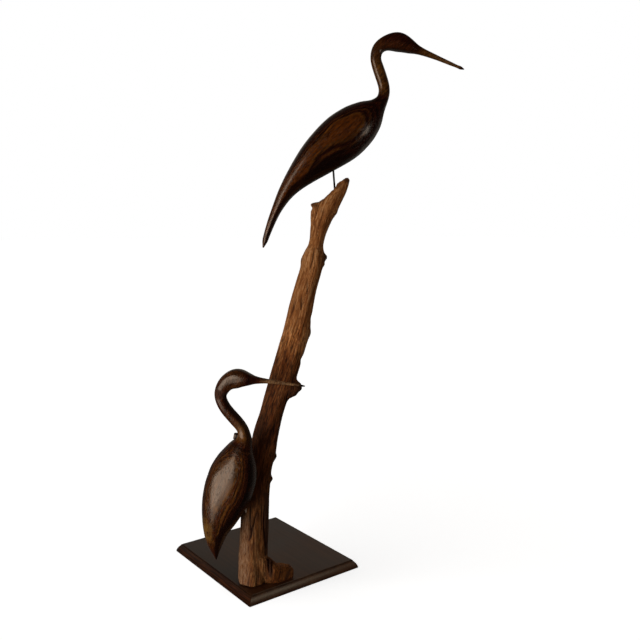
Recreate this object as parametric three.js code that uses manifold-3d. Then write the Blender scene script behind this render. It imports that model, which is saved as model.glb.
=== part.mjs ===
import * as THREE from "three";
import { mergeVertices } from "three/addons/utils/BufferGeometryUtils.js";
import Module from "manifold-3d";

// Two carved wooden herons on a driftwood post that stands on a moulded board.
// Millimetres, +Z up. The origin is the centre of the board's underside, X runs along the board's
// short edge and Y along its long edge.

const wasm = await Module();
wasm.setup();

// The board: its outer size and, from the top face outwards, a small step, a narrow flat and a
// second step above the gently rounded slope, which ends in a short upright at the bottom.
const BOARD_SHORT = 178;
const BOARD_LONG = 203;
const BOARD_THICK = 11.3;
const TOP_INSET = 6.4;
const FLAT_WIDE = 1.3;
const STEP_DEEP = 0.9;
const UPRIGHT_HIGH = 1.6;
const SLOPE_BULGE = 0.35;
const SLOPE_STEPS = 6;

// The post and the herons share one turned frame: x runs along the beaks, y runs back through the
// herons and z is up.
const BEAKS_TURNED = THREE.MathUtils.degToRad(-37.4);

// Clearance between pieces that touch, and where the post's underside is.
const GAP = 0.3;
const POST_BOTTOM = BOARD_THICK + GAP;

// The herons' midlines from the tail's tip to the beak's tip, a row for each place along them:
// x, z, half height across the line and half width from side to side.
const UPPER_HERON_LINE = [
  [1.6, 443.8, 0.8, 0.8],
  [7.8, 464, 4.7, 4.4],
  [19.8, 494, 6.6, 6.6],
  [38, 525, 12.2, 11.5],
  [75.3, 563.2, 26.2, 21.5],
  [109, 590, 32.3, 25.5],
  [130.5, 607.3, 29, 23.5],
  [145.7, 621, 21.1, 18.5],
  [155.5, 631.2, 11.4, 11.2],
  [161.8, 640.5, 7.7, 7.7],
  [163.8, 653, 7.5, 7.2],
  [156.9, 675, 7.7, 7.2],
  [152, 691, 7.2, 7],
  [154.6, 702.8, 7.9, 7.8],
  [163.6, 710.2, 9.2, 9],
  [181, 712.4, 12.3, 11],
  [197.4, 706.2, 9, 8.6],
  [208, 701.8, 5.5, 5.6],
  [228, 694.1, 3.4, 3.5],
  [256, 682.6, 2.3, 2.3],
  [268.6, 677.5, 0.5, 0.5],
];
const LOWER_HERON_LINE = [
  [-54.9, 46.8, 0.8, 0.8],
  [-55.3, 53.5, 3.8, 3.6],
  [-56.3, 66, 9.7, 8.8],
  [-54.6, 85.8, 16.6, 14.2],
  [-49.6, 104.5, 23.7, 19],
  [-43.5, 123.5, 28.8, 22.5],
  [-36.5, 142.7, 31.6, 24.5],
  [-31, 161.4, 30.6, 24],
  [-26.2, 178, 25.8, 21],
  [-21.7, 192.5, 18, 16],
  [-17.3, 204, 11.2, 11],
  [-16.8, 211, 8.6, 8.4],
  [-19, 220, 7.4, 7.2],
  [-28.8, 232.8, 7.8, 7.2],
  [-39.5, 245.7, 7.6, 7.2],
  [-45.4, 258.5, 7.4, 7.2],
  [-44.8, 267.5, 8.4, 8],
  [-37.5, 278.5, 10.4, 9.6],
  [-24.5, 284.3, 12.5, 11],
  [-10, 283, 8, 7.8],
  [-1, 281.9, 4.8, 5],
  [15, 280.4, 2.8, 3],
  [45, 276.3, 1.7, 1.7],
  [60.2, 274.2, 0.5, 0.5],
];
const UPPER_HERON_BACK = 0;
const LOWER_HERON_BACK = -100;
const HERON_SIDES = 16;
const HERON_RINGS_PER_ROW = 3;

// The chip of wood that stands out at the back of the lower heron's neck.
const NECK_CHIP = { row: 11.25, angle: 0, out: 5.2, long: 0.4, round: 0.55 };

// The post leans right and back as it rises. A row for each level slice: z, left edge, right edge
// and half depth. The top rows are those of the whole stick, before its end was torn away.
const POST_SLICES = [
  [POST_BOTTOM, -28.8, 10, 23],
  [47, -27.8, 9.7, 20],
  [75, -26.2, 11, 19],
  [110, -24.5, 11.8, 18],
  [150, -18.8, 14, 18],
  [174, -14.8, 20.2, 18],
  [198, -10.2, 23.4, 18],
  [240, 2.5, 34.5, 18.5],
  [276, 12.4, 48.5, 19],
  [302, 20.4, 56.2, 18.5],
  [332, 28.5, 64.6, 18.5],
  [381, 41.3, 72.3, 17],
  [420, 53, 82.8, 16.5],
  [436, 56.6, 83.6, 16],
  [449, 64, 83.4, 14],
  [474, 67, 91.8, 14],
  [500, 68, 105.2, 15],
  [520, 80, 114.6, 12],
  [545, 97, 122, 7],
];
const POST_FOOT_BACK = -85;
const POST_LEAN_BACK = 0.162;
const POST_SIDES = 24;
const POST_RING_SPACING = 6.5;

// Long hollows that wind round the post: how many, how deep against its size, and mm of height for
// each radian that they wind.
const FLUTES = [
  { count: 5, deep: 0.06, wind: 70 },
  { count: 8, deep: 0.035, wind: -110 },
];

// Knots and stubs on the post: height, angle from the right-hand edge (front is -90 degrees), how far
// they stand out, their half height in mm and their half width in radians.
const POST_KNOTS = [
  { z: 259.5, angle: -12, out: 13.5, tall: 11, round: 0.7 },
  { z: 431.5, angle: 0, out: 5.4, tall: 6.5, round: 0.45 },
  { z: 336, angle: 0, out: 1, tall: 7, round: 0.5 },
  { z: 168, angle: 0, out: 1.8, tall: 4, round: 0.5 },
  { z: 142, angle: 0, out: 2.8, tall: 4.5, round: 0.5 },
  { z: 428, angle: 175, out: 1.5, tall: 9, round: 0.6 },
  { z: 210, angle: 100, out: 3, tall: 12, round: 0.5 },
  { z: 360, angle: 75, out: 2.5, tall: 10, round: 0.5 },
];

// The torn end seen from the front, left to right: the short spur, the hollow that climbs to a
// ledge, and the tongue above it.
const TORN_END = [
  [60, 503.4],
  [69, 503.8],
  [77.3, 505.6],
  [84.2, 509.6],
  [90.3, 515.7],
  [96.5, 521.5],
  [100, 525.5],
  [101.8, 529.8],
  [108.2, 533.6],
  [113.5, 537],
  [116.5, 537.2],
  [119.4, 534],
  [127, 523],
];

// The root toe at the post's foot, along its middle: x, y, z, half height and half width.
const TOE_LINE = [
  [-8, -88, 40, 20, 12],
  [6, -88, 28, 17, 13],
  [20, -81.5, 19.5, 13.4, 12.6],
  [29, -76, 18.4, 12, 11.6],
  [35.5, -72, 17.6, 8.4, 8],
  [39, -70, 17.6, 1.5, 1.5],
];
const TOE_SIDES = 14;
const TOE_RINGS_PER_ROW = 2;

// The wires that carry the herons: from their end in the heron to their end in the post.
const WIRE_RADIUS = 1.1;
const WIRE_SIDES = 12;
const UPPER_WIRE = [new THREE.Vector3(95.6, 0, 560), new THREE.Vector3(99.6, -1, 508)];
const LOWER_WIRE = [new THREE.Vector3(-17.1, -109, 127.7), new THREE.Vector3(-17.6, -74.1, 95.1)];

const HERON_WOOD = new THREE.MeshStandardMaterial({ color: 0x3a1e12, roughness: 0.35 });
const DRIFTWOOD = new THREE.MeshStandardMaterial({ color: 0x6e4426, roughness: 0.75 });
const BOARD_WOOD = new THREE.MeshStandardMaterial({ color: 0x2c1d15, roughness: 0.4 });
const WIRE_METAL = new THREE.MeshStandardMaterial({ color: 0x2b2a28, roughness: 0.5, metalness: 0.8 });

// Solids

function solidOf(geometry) {
  const bare = geometry.index ? geometry.toNonIndexed() : geometry.clone();
  bare.deleteAttribute("normal");
  bare.deleteAttribute("uv");
  const merged = mergeVertices(bare);
  const vertProperties = merged.attributes.position.array;
  const triVerts = new Uint32Array(merged.index.array);
  return new wasm.Manifold(new wasm.Mesh({ numProp: 3, vertProperties, triVerts }));
}

function geometryOf(solid) {
  const { vertProperties, triVerts } = solid.getMesh();
  const geometry = new THREE.BufferGeometry();
  geometry.setAttribute("position", new THREE.BufferAttribute(vertProperties, 3));
  geometry.setIndex(new THREE.BufferAttribute(triVerts, 1));
  geometry.computeVertexNormals();
  return geometry;
}

// A closed skin over rings that all have the same number of points, each end closed by a fan to the
// middle of its ring. The rings run anticlockwise as seen from the far end.
function skin(rings) {
  const sides = rings[0].length;
  const points = rings.flat();
  const faces = [];
  for (let ring = 0; ring + 1 < rings.length; ring++) {
    for (let side = 0; side < sides; side++) {
      const here = ring * sides + side;
      const next = ring * sides + ((side + 1) % sides);
      faces.push(here, next, next + sides, here, next + sides, here + sides);
    }
  }
  const start = points.push(middleOf(rings[0])) - 1;
  const end = points.push(middleOf(rings.at(-1))) - 1;
  const last = (rings.length - 1) * sides;
  for (let side = 0; side < sides; side++) {
    const next = (side + 1) % sides;
    faces.push(start, next, side, end, last + side, last + next);
  }
  const geometry = new THREE.BufferGeometry().setFromPoints(points);
  geometry.setIndex(faces);
  return geometry;
}

function middleOf(ring) {
  const sum = ring.reduce((total, point) => total.add(point), new THREE.Vector3());
  return sum.divideScalar(ring.length);
}

function curveOf(rows, toPoint) {
  return new THREE.CatmullRomCurve3(rows.map(toPoint), false, "centripetal");
}

// Places from 0 to 1 on a curve through rows at these heights, about one for each spacing in height.
function evenSteps(heights, spacing) {
  const spans = heights.length - 1;
  const places = [0];
  for (let span = 0; span < spans; span++) {
    const count = Math.round((heights[span + 1] - heights[span]) / spacing);
    for (let step = 1; step <= count; step++) places.push((span + step / count) / spans);
  }
  return places;
}

// The share of a rounded swelling's height that is left at a distance from its middle, where 1 is
// its rim.
function swelling(distance) {
  const steepness = 2;
  return Math.exp(-steepness * distance * distance);
}

// The shortest turn from one angle to another, in radians.
function turnBetween(one, other) {
  return Math.atan2(Math.sin(one - other), Math.cos(one - other));
}

// Rings across a line of rows x, y, z, half height, half width. A ring's width runs along y as nearly
// as its line allows, and its height square to that. swell gives what is added to the radius at a
// place along the rows and an angle round the ring.
function ringsAlong(rows, sides, ringsPerRow, swell) {
  const middle = curveOf(rows, ([x, y, z]) => new THREE.Vector3(x, y, z));
  const girth = curveOf(rows, ([, , , high, wide]) => new THREE.Vector3(high, wide, 0));
  const count = (rows.length - 1) * ringsPerRow;
  const rings = [];
  for (let step = 0; step <= count; step++) {
    const t = step / count;
    const forward = middle.getTangent(t);
    const side = new THREE.Vector3(0, -1, 0).projectOnPlane(forward).normalize();
    const up = side.clone().cross(forward);
    rings.push(ringAt(middle.getPoint(t), up, side, girth.getPoint(t), sides, step / ringsPerRow, swell));
  }
  return rings;
}

function ringAt(centre, up, side, girth, sides, row, swell) {
  const ring = [];
  for (let i = 0; i < sides; i++) {
    const angle = (i / sides) * 2 * Math.PI;
    const extra = swell(row, angle);
    const rise = (girth.x + extra) * Math.cos(angle);
    const sway = (girth.y + extra) * Math.sin(angle);
    ring.push(centre.clone().addScaledVector(up, rise).addScaledVector(side, sway));
  }
  return ring;
}

// Pieces

// A rectangle's four corners at a height, drawn in from the board's outer edge.
function boardRing(inset, z) {
  const x = BOARD_SHORT / 2 - inset;
  const y = BOARD_LONG / 2 - inset;
  return [
    new THREE.Vector3(x, y, z),
    new THREE.Vector3(-x, y, z),
    new THREE.Vector3(-x, -y, z),
    new THREE.Vector3(x, -y, z),
  ];
}

function board() {
  const slopeStart = new THREE.Vector2(0, UPRIGHT_HIGH);
  const slopeEnd = new THREE.Vector2(TOP_INSET - FLAT_WIDE, BOARD_THICK - 2 * STEP_DEEP);
  const corner = new THREE.Vector2(slopeStart.x, slopeEnd.y);
  const bulge = slopeStart.clone().lerp(slopeEnd, 0.5).lerp(corner, SLOPE_BULGE);
  const slope = new THREE.QuadraticBezierCurve(slopeStart, bulge, slopeEnd);
  const rings = [boardRing(0, 0)];
  for (const { x: inset, y: z } of slope.getPoints(SLOPE_STEPS)) rings.push(boardRing(inset, z));
  rings.push(boardRing(slopeEnd.x, BOARD_THICK - STEP_DEEP));
  rings.push(boardRing(TOP_INSET, BOARD_THICK - STEP_DEEP));
  rings.push(boardRing(TOP_INSET, BOARD_THICK));
  return solidOf(skin(rings));
}

function heron(line, back, chip) {
  const rows = line.map(([x, z, high, wide]) => [x, back, z, high, wide]);
  const swell = (row, angle) => {
    if (!chip) return 0;
    const along = (row - chip.row) / chip.long;
    const round = turnBetween(angle, chip.angle) / chip.round;
    return chip.out * swelling(Math.hypot(along, round));
  };
  return solidOf(skin(ringsAlong(rows, HERON_SIDES, HERON_RINGS_PER_ROW, swell)));
}

// The flutes fade out at the left and right edges, which keep the slices' true outline.
function fluting(angle, z) {
  const fade = Math.sin(angle) ** 2;
  const depth = FLUTES.map(({ count, deep, wind }) => deep * Math.cos(count * angle + z / wind));
  return 1 + fade * depth.reduce((total, part) => total + part, 0);
}

function knotsAt(angle, z) {
  const heights = POST_KNOTS.map((knot) => {
    const along = (z - knot.z) / knot.tall;
    const round = turnBetween(angle, THREE.MathUtils.degToRad(knot.angle)) / knot.round;
    return knot.out * swelling(Math.hypot(along, round));
  });
  return heights.reduce((total, part) => total + part, 0);
}

function stick() {
  const edges = curveOf(POST_SLICES, ([z, left, right]) => new THREE.Vector3(left, right, z));
  const depth = curveOf(POST_SLICES, ([z, , , deep]) => new THREE.Vector3(deep, 0, z));
  const rings = [];
  for (const t of evenSteps(POST_SLICES.map(([z]) => z), POST_RING_SPACING)) {
    const { x: left, y: right, z } = edges.getPoint(t);
    const deep = depth.getPoint(t).x;
    const back = POST_FOOT_BACK + POST_LEAN_BACK * (z - POST_BOTTOM);
    const ring = [];
    for (let side = 0; side < POST_SIDES; side++) {
      const angle = (side / POST_SIDES) * 2 * Math.PI;
      const size = fluting(angle, z);
      const knot = knotsAt(angle, z);
      const x = (left + right) / 2 + (size * ((right - left) / 2) + knot) * Math.cos(angle);
      const y = back + (size * deep + knot) * Math.sin(angle);
      ring.push(new THREE.Vector3(x, y, z));
    }
    rings.push(ring);
  }
  return solidOf(skin(rings));
}

function toe() {
  return solidOf(skin(ringsAlong(TOE_LINE, TOE_SIDES, TOE_RINGS_PER_ROW, () => 0)));
}

// All that was torn away above the post's end.
function tornAway() {
  const highest = 600;
  const half = 60;
  const outline = new THREE.Shape(TORN_END.map(([x, z]) => new THREE.Vector2(x, z)));
  outline.lineTo(TORN_END.at(-1)[0], highest);
  outline.lineTo(TORN_END[0][0], highest);
  const block = new THREE.ExtrudeGeometry(outline, { depth: 2 * half, bevelEnabled: false });
  block.rotateX(Math.PI / 2);
  block.translate(0, half, 0);
  return solidOf(block);
}

// All that would reach below the post's flat underside.
function belowFoot() {
  const size = 200;
  const block = new THREE.BoxGeometry(size, size, size);
  block.translate(0, POST_FOOT_BACK, POST_BOTTOM - size / 2);
  return solidOf(block);
}

function wire([from, to], radius) {
  const along = to.clone().sub(from);
  const rod = new THREE.CylinderGeometry(radius, radius, along.length(), WIRE_SIDES);
  const turn = new THREE.Quaternion().setFromUnitVectors(new THREE.Vector3(0, 1, 0), along.normalize());
  rod.applyQuaternion(turn);
  rod.translate(...from.clone().add(to).divideScalar(2).toArray());
  return solidOf(rod);
}

// The blind hole for a wire, longer than the wire by the gap at either end.
function wireHole([from, to]) {
  const along = to.clone().sub(from).setLength(GAP);
  return wire([from.clone().sub(along), to.clone().add(along)], WIRE_RADIUS + GAP);
}

function post() {
  const whole = stick().subtract(tornAway()).add(toe()).subtract(belowFoot());
  return whole.subtract(wireHole(UPPER_WIRE)).subtract(wireHole(LOWER_WIRE));
}

function upperHeron() {
  return heron(UPPER_HERON_LINE, UPPER_HERON_BACK, null).subtract(wireHole(UPPER_WIRE));
}

function lowerHeron() {
  return heron(LOWER_HERON_LINE, LOWER_HERON_BACK, NECK_CHIP).subtract(wireHole(LOWER_WIRE));
}

function named(name, solid, material) {
  const mesh = new THREE.Mesh(geometryOf(solid), material);
  mesh.name = name;
  return mesh;
}

const sculpture = new THREE.Group();
sculpture.add(named("base_board", board(), BOARD_WOOD));

const onBoard = new THREE.Group();
onBoard.rotation.z = BEAKS_TURNED;
onBoard.add(named("driftwood_post", post(), DRIFTWOOD));
onBoard.add(named("upper_heron", upperHeron(), HERON_WOOD));
onBoard.add(named("upper_heron_wire", wire(UPPER_WIRE, WIRE_RADIUS), WIRE_METAL));
onBoard.add(named("lower_heron", lowerHeron(), HERON_WOOD));
onBoard.add(named("lower_heron_wire", wire(LOWER_WIRE, WIRE_RADIUS), WIRE_METAL));
sculpture.add(onBoard);

export default sculpture;
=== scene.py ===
import math

import bpy
import numpy as np
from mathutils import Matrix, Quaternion, Vector


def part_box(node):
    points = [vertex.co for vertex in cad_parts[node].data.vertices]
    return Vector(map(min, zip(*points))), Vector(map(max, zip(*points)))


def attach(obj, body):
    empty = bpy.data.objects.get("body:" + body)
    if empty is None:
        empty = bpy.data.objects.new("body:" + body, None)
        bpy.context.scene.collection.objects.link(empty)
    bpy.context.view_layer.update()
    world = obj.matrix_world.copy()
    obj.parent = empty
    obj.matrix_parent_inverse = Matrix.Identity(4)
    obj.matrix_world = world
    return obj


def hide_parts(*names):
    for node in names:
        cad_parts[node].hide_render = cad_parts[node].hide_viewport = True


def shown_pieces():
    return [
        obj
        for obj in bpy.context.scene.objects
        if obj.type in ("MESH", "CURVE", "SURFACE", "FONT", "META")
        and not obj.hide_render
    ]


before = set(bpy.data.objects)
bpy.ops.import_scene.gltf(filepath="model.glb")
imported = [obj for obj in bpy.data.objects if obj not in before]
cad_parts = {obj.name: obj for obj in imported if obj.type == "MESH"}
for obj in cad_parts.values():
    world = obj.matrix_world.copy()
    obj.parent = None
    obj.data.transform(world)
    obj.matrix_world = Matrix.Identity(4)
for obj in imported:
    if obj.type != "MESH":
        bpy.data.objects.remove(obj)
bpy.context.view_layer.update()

# Two carved herons, a driftwood post and a moulded board. Shapes are worked out in millimetres. The
# herons and the post are in the herons' turned frame: x along the beaks, y back through them, z up.

MM = 0.001
BEAKS_TURNED = math.radians(-37.4)


def in_row_frame(points):
    """Points of the turned frame, in millimetres, as metres in the row frame."""
    turn = np.array([
        [math.cos(BEAKS_TURNED), -math.sin(BEAKS_TURNED), 0],
        [math.sin(BEAKS_TURNED), math.cos(BEAKS_TURNED), 0],
        [0, 0, 1],
    ])
    return points @ turn.T * MM


# Curves, noise and skins


def spline(rows, places):
    """Points and directions on a centripetal curve through rows, at places counted in rows."""
    rows = np.asarray(rows, float)
    whole = np.vstack([2 * rows[0] - rows[1], rows, 2 * rows[-1] - rows[-2]])
    span = np.clip(np.floor(places).astype(int), 0, len(rows) - 2)
    part = (places - span)[:, None]
    before, start, end, after = (whole[span + k] for k in range(4))
    first, middle, last = (
        np.sqrt(np.linalg.norm(b - a, axis=1))[:, None]
        for a, b in ((before, start), (start, end), (end, after))
    )
    tiny = 1e-4
    middle = np.where(middle < tiny, 1.0, middle)
    first, last = np.where(first < tiny, middle, first), np.where(last < tiny, middle, last)
    leave = (start - before) / first - (end - before) / (first + middle) + (end - start) / middle
    arrive = (end - start) / middle - (after - start) / (middle + last) + (after - end) / last
    leave, arrive = leave * middle, arrive * middle
    square = 3 * (end - start) - 2 * leave - arrive
    cube = 2 * (start - end) + leave + arrive
    return start + part * (leave + part * (square + part * cube))


def soften(rows, passes):
    """Evens out a run of rows and keeps its ends."""
    for _ in range(passes):
        between = (rows[:-2] + 2 * rows[1:-1] + rows[2:]) / 4
        rows = np.vstack([rows[:1], between, rows[-1:]])
    return rows


def rise(low, high, value):
    """0 below low, 1 above high, with a smooth rise between."""
    part = np.clip((value - low) / (high - low), 0, 1)
    return part * part * (3 - 2 * part)


def bell(value):
    return np.exp(-value ** 2)


def noise(points, seed):
    """Smooth noise from about -1 to 1, with one lump to a unit, at each of these points."""
    random = np.random.default_rng(seed)
    table = random.permutation(256)
    leans = random.normal(size=(256, 3))
    leans /= np.linalg.norm(leans, axis=1)[:, None]
    cell = np.floor(points).astype(int)
    part = points - cell
    fade = part ** 3 * (part * (part * 6 - 15) + 10)
    total = np.zeros(len(points))
    for corner in np.ndindex(2, 2, 2):
        x, y, z = ((cell + corner) & 255).T
        lean = leans[table[(table[(table[x] + y) & 255] + z) & 255]]
        weight = np.prod(np.where(corner, fade, 1 - fade), axis=1)
        total += weight * np.sum(lean * (part - corner), axis=1)
    return total * 1.5


def skin(rings):
    """Points and faces of a closed skin over rings, each end closed by a fan."""
    count, sides = rings.shape[:2]
    points = np.vstack([rings.reshape(-1, 3), rings[0].mean(0), rings[-1].mean(0)])
    here = np.arange((count - 1) * sides).reshape(-1, sides)
    following = np.roll(here, -1, axis=1)
    walls = np.stack([here, following, following + sides, here + sides], axis=-1).reshape(-1, 4)
    first = np.arange(sides)
    final = first + (count - 1) * sides
    start, end = count * sides, count * sides + 1
    fans = [(start, b, a) for a, b in zip(first, np.roll(first, -1))]
    fans += [(end, a, b) for a, b in zip(final, np.roll(final, -1))]
    return points, walls.tolist() + [tuple(int(i) for i in fan) for fan in fans]


def rings_along(rows, sides, rings_per_row, passes=0, swell=None, fuller=None):
    """Rings across a line of rows x, y, z, half height, half width, with each ring's row number and
    the angles of its points. swell says how much is added to the girth at a row number and an angle,
    and fuller how much wider a ring's lower half is than its upper."""
    rows = np.asarray(rows, float)
    places = np.linspace(0, len(rows) - 1, (len(rows) - 1) * rings_per_row + 1)
    middle = soften(spline(rows[:, :3], places), passes)
    girth = np.column_stack([rows[:, 3:5], np.zeros(len(rows))])
    girth = soften(spline(girth, places), passes)
    forward = np.gradient(middle, axis=0)
    forward /= np.linalg.norm(forward, axis=1)[:, None]
    side = np.array([0, -1, 0]) + forward[:, 1:2] * forward
    side /= np.linalg.norm(side, axis=1)[:, None]
    up = np.cross(side, forward)
    angle = np.arange(sides) / sides * 2 * math.pi
    extra = swell(places[:, None], angle[None, :]) if swell else np.zeros((len(places), sides))
    height = (girth[:, :1] + extra) * np.cos(angle)
    width = (girth[:, 1:2] + extra) * np.sin(angle)
    if fuller:
        width = width * (1 - fuller(places)[:, None] * np.cos(angle))
    rings = middle[:, None] + height[..., None] * up[:, None] + width[..., None] * side[:, None]
    return rings, places, angle


def squared(girth):
    """A swell that turns a round section of this girth into a square one with round corners."""
    def swell(places, angle):
        corner = (np.cos(angle) ** 4 + np.sin(angle) ** 4) ** -0.25
        return girth * (corner - 1) + 0 * places
    return swell


# Pieces


def mesh_object(name, points, faces):
    mesh = bpy.data.meshes.new(name)
    mesh.from_pydata(points.tolist(), [], faces)
    mesh.update()
    thing = bpy.data.objects.new(name, mesh)
    bpy.context.scene.collection.objects.link(thing)
    return thing


def vectors_of(items, name):
    flat = np.empty(len(items) * 3, np.float32)
    items.foreach_get(name, flat)
    return flat.reshape(-1, 3).astype(float)


def points_of(thing):
    return vectors_of(thing.data.vertices, "co")


def normals_of(thing):
    return vectors_of(thing.data.vertex_normals, "vector")


def set_points(thing, points):
    thing.data.vertices.foreach_set("co", points.astype(np.float32).ravel())
    thing.data.update()


def store(thing, name, values):
    """Keeps a number or a vector for each point, for the materials to read."""
    kind = "FLOAT" if values.ndim == 1 else "FLOAT_VECTOR"
    layer = thing.data.attributes.new(name, kind, "POINT")
    layer.data.foreach_set("value" if values.ndim == 1 else "vector", values.astype(np.float32).ravel())


def settle(thing):
    """Turns what a piece's modifiers make into its own plain mesh."""
    graph = bpy.context.evaluated_depsgraph_get()
    result = bpy.data.meshes.new_from_object(thing.evaluated_get(graph))
    thing.modifiers.clear()
    thing.data = result


def cut(thing, tool, operation):
    """Joins a tool to a piece, or cuts it away, and deletes the tool."""
    change = thing.modifiers.new("cut", "BOOLEAN")
    change.operation = operation
    change.solver = "MANIFOLD"
    change.object = tool
    settle(thing)
    bpy.data.objects.remove(tool)


def remesh(thing, size):
    """Covers a piece with small even faces."""
    change = thing.modifiers.new("even_faces", "REMESH")
    change.mode = "VOXEL"
    change.voxel_size = size
    settle(thing)


def finish_piece(thing, material, node, sharp_angle):
    """Keeps a piece in its node's box and gives it its material, shading and place in the model."""
    low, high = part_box(node)
    set_points(thing, np.clip(points_of(thing), np.array(low), np.array(high)))
    thing.data.materials.clear()
    thing.data.materials.append(material)
    thing.data.shade_smooth()
    thing.data.set_sharp_from_angle(angle=math.radians(sharp_angle))
    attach(thing, "root")
    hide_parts(node)


# Node trees


class Signal:
    """The output of a node. Python's operators on it add Math nodes."""

    def __init__(self, tree, socket):
        self.tree = tree
        self.socket = socket

    def math(self, operation, *others):
        return self.tree.add("Math", {"operation": operation}, [self, *others])

    def __add__(self, other):
        return self.math("ADD", other)

    __radd__ = __add__

    def __sub__(self, other):
        return self.math("SUBTRACT", other)

    def __rsub__(self, other):
        return self.tree.add("Math", {"operation": "SUBTRACT"}, [other, self])

    def __mul__(self, other):
        return self.math("MULTIPLY", other)

    __rmul__ = __mul__

    def __truediv__(self, other):
        return self.math("DIVIDE", other)

    def __neg__(self):
        return self.math("MULTIPLY", -1.0)

    def between(self, low, high, start=0.0, end=1.0):
        """Carries low to high over to start to end, with a smooth rise between and level beyond."""
        ease = {"interpolation_type": "SMOOTHSTEP"}
        return self.tree.add("MapRange", ease, [self, low, high, start, end])

    def within(self, begins, full, fades, gone):
        """1 from full to fades and 0 before begins and after gone, with smooth rises between."""
        return self.between(begins, full) * self.between(fades, gone, 1.0, 0.0)


class Nodes:
    """A node tree in the making. Kinds of node without a prefix are shader nodes."""

    def __init__(self, tree):
        self.tree = tree
        tree.nodes.clear()

    def add(self, kind, settings, sockets, output=0):
        """A new node: its settings first, then the values or links of its sockets."""
        node = self.tree.nodes.new(kind if "Node" in kind else "ShaderNode" + kind)
        for name, value in settings.items():
            if name == "stops":
                self.set_stops(node.color_ramp, value)
            else:
                setattr(node, name, value)
        pairs = sockets.items() if isinstance(sockets, dict) else enumerate(sockets)
        for key, value in pairs:
            if isinstance(value, Signal):
                self.tree.links.new(value.socket, node.inputs[key])
            else:
                node.inputs[key].default_value = value
        return Signal(self, node.outputs[output]) if node.outputs else None

    def set_stops(self, ramp, stops):
        while len(ramp.elements) < len(stops):
            ramp.elements.new(1.0)
        for element, (place, colour) in zip(ramp.elements, stops):
            element.position = place
            element.color = (*colour, 1.0)

    def ramp(self, value, stops, length=1.0):
        """A colour for each value. Stops are places and colours, and the last place is up to length."""
        stops = [(place / length, colour) for place, colour in stops]
        return self.add("ValToRGB", {"stops": stops}, [value / length])

    def mix(self, share, one, other, how="MIX"):
        """A colour between two, or one changed by the other."""
        colours = [c if isinstance(c, Signal) else (*c, 1.0) for c in (one, other)]
        settings = {"data_type": "RGBA", "blend_type": how}
        return self.add("Mix", settings, {0: share, 6: colours[0], 7: colours[1]}, 2)

    def shade(self, colour, share):
        """A colour made lighter or darker by a number that varies."""
        return self.vector("SCALE", colour, (0, 0, 0), 0, share)

    def vector(self, operation, one, other, output=0, scale=1.0):
        sockets = {0: one, 1: other}
        if operation == "SCALE":
            sockets["Scale"] = scale
        return self.add("VectorMath", {"operation": operation}, sockets, output)

    def spots(self, place, scale, detail=2.0, rough=0.5, bend=0.0):
        """Noise from 0 to 1. A scale of three numbers stretches it."""
        if isinstance(scale, tuple):
            place = self.vector("MULTIPLY", place, scale)
            scale = 1.0
        sockets = {
            "Vector": place, "Scale": scale, "Detail": detail, "Roughness": rough, "Distortion": bend,
        }
        return self.add("TexNoise", {}, sockets)


class Finish(Nodes):
    """A material in the making."""

    def __init__(self, name):
        self.material = bpy.data.materials.new(name)
        self.material.use_nodes = True
        super().__init__(self.material.node_tree)

    def kept(self, name, output="Fac"):
        """A number or a vector that the piece's points hold."""
        return self.add("Attribute", {"attribute_name": name}, {}, output)

    def place(self, turn=0.0):
        """The place on the piece in millimetres, turned about the vertical."""
        here = self.add("TexCoord", {}, {}, "Object")
        sockets = {"Vector": here, "Rotation": (0, 0, turn), "Scale": (1 / MM, 1 / MM, 1 / MM)}
        return self.add("Mapping", {"vector_type": "POINT"}, sockets)

    def close(self, changing, steady, height, relief, reach):
        """Adds the shader. relief is the share of the bump, and reach its height in metres."""
        bump = self.add("Bump", {}, {"Strength": relief, "Distance": reach, "Height": height})
        shader = self.add("BsdfPrincipled", {}, {**changing, **steady, "Normal": bump})
        self.add("OutputMaterial", {}, {"Surface": shader})
        return self.material


class Shape(Nodes):
    """A Geometry Nodes tree in the making. sizes names its inputs and their values."""

    def __init__(self, name, sizes, material):
        group = bpy.data.node_groups.new(name, "GeometryNodeTree")
        super().__init__(group)
        self.values = {}
        for size, value in {**sizes, "Material": material}.items():
            kind = "NodeSocketVector" if isinstance(value, tuple) else "NodeSocketFloat"
            if size == "Material":
                kind = "NodeSocketMaterial"
            made = group.interface.new_socket(name=size, in_out="INPUT", socket_type=kind)
            self.values[made.identifier] = value
        group.interface.new_socket(name="Mesh", in_out="OUTPUT", socket_type="NodeSocketGeometry")
        self.entry = group.nodes.new("NodeGroupInput")

    def size(self, name):
        return Signal(self, self.entry.outputs[name])

    def built(self, name, geometry):
        """Ends the tree and makes a piece of its own plain mesh."""
        whole = self.add("GeometryNodeRealizeInstances", {}, [geometry])
        sockets = {"Geometry": whole, "Material": self.size("Material")}
        painted = self.add("GeometryNodeSetMaterial", {}, sockets)
        self.add("NodeGroupOutput", {}, [painted])
        thing = mesh_object(name, np.zeros((0, 3)), [])
        change = thing.modifiers.new("shape", "NODES")
        change.node_group = self.tree
        for identifier, value in self.values.items():
            change[identifier] = value
        settle(thing)
        return thing


# The herons


HERON_SIDES = 84
HERON_RINGS_PER_ROW = 14
HERON_PASSES = 20

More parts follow.
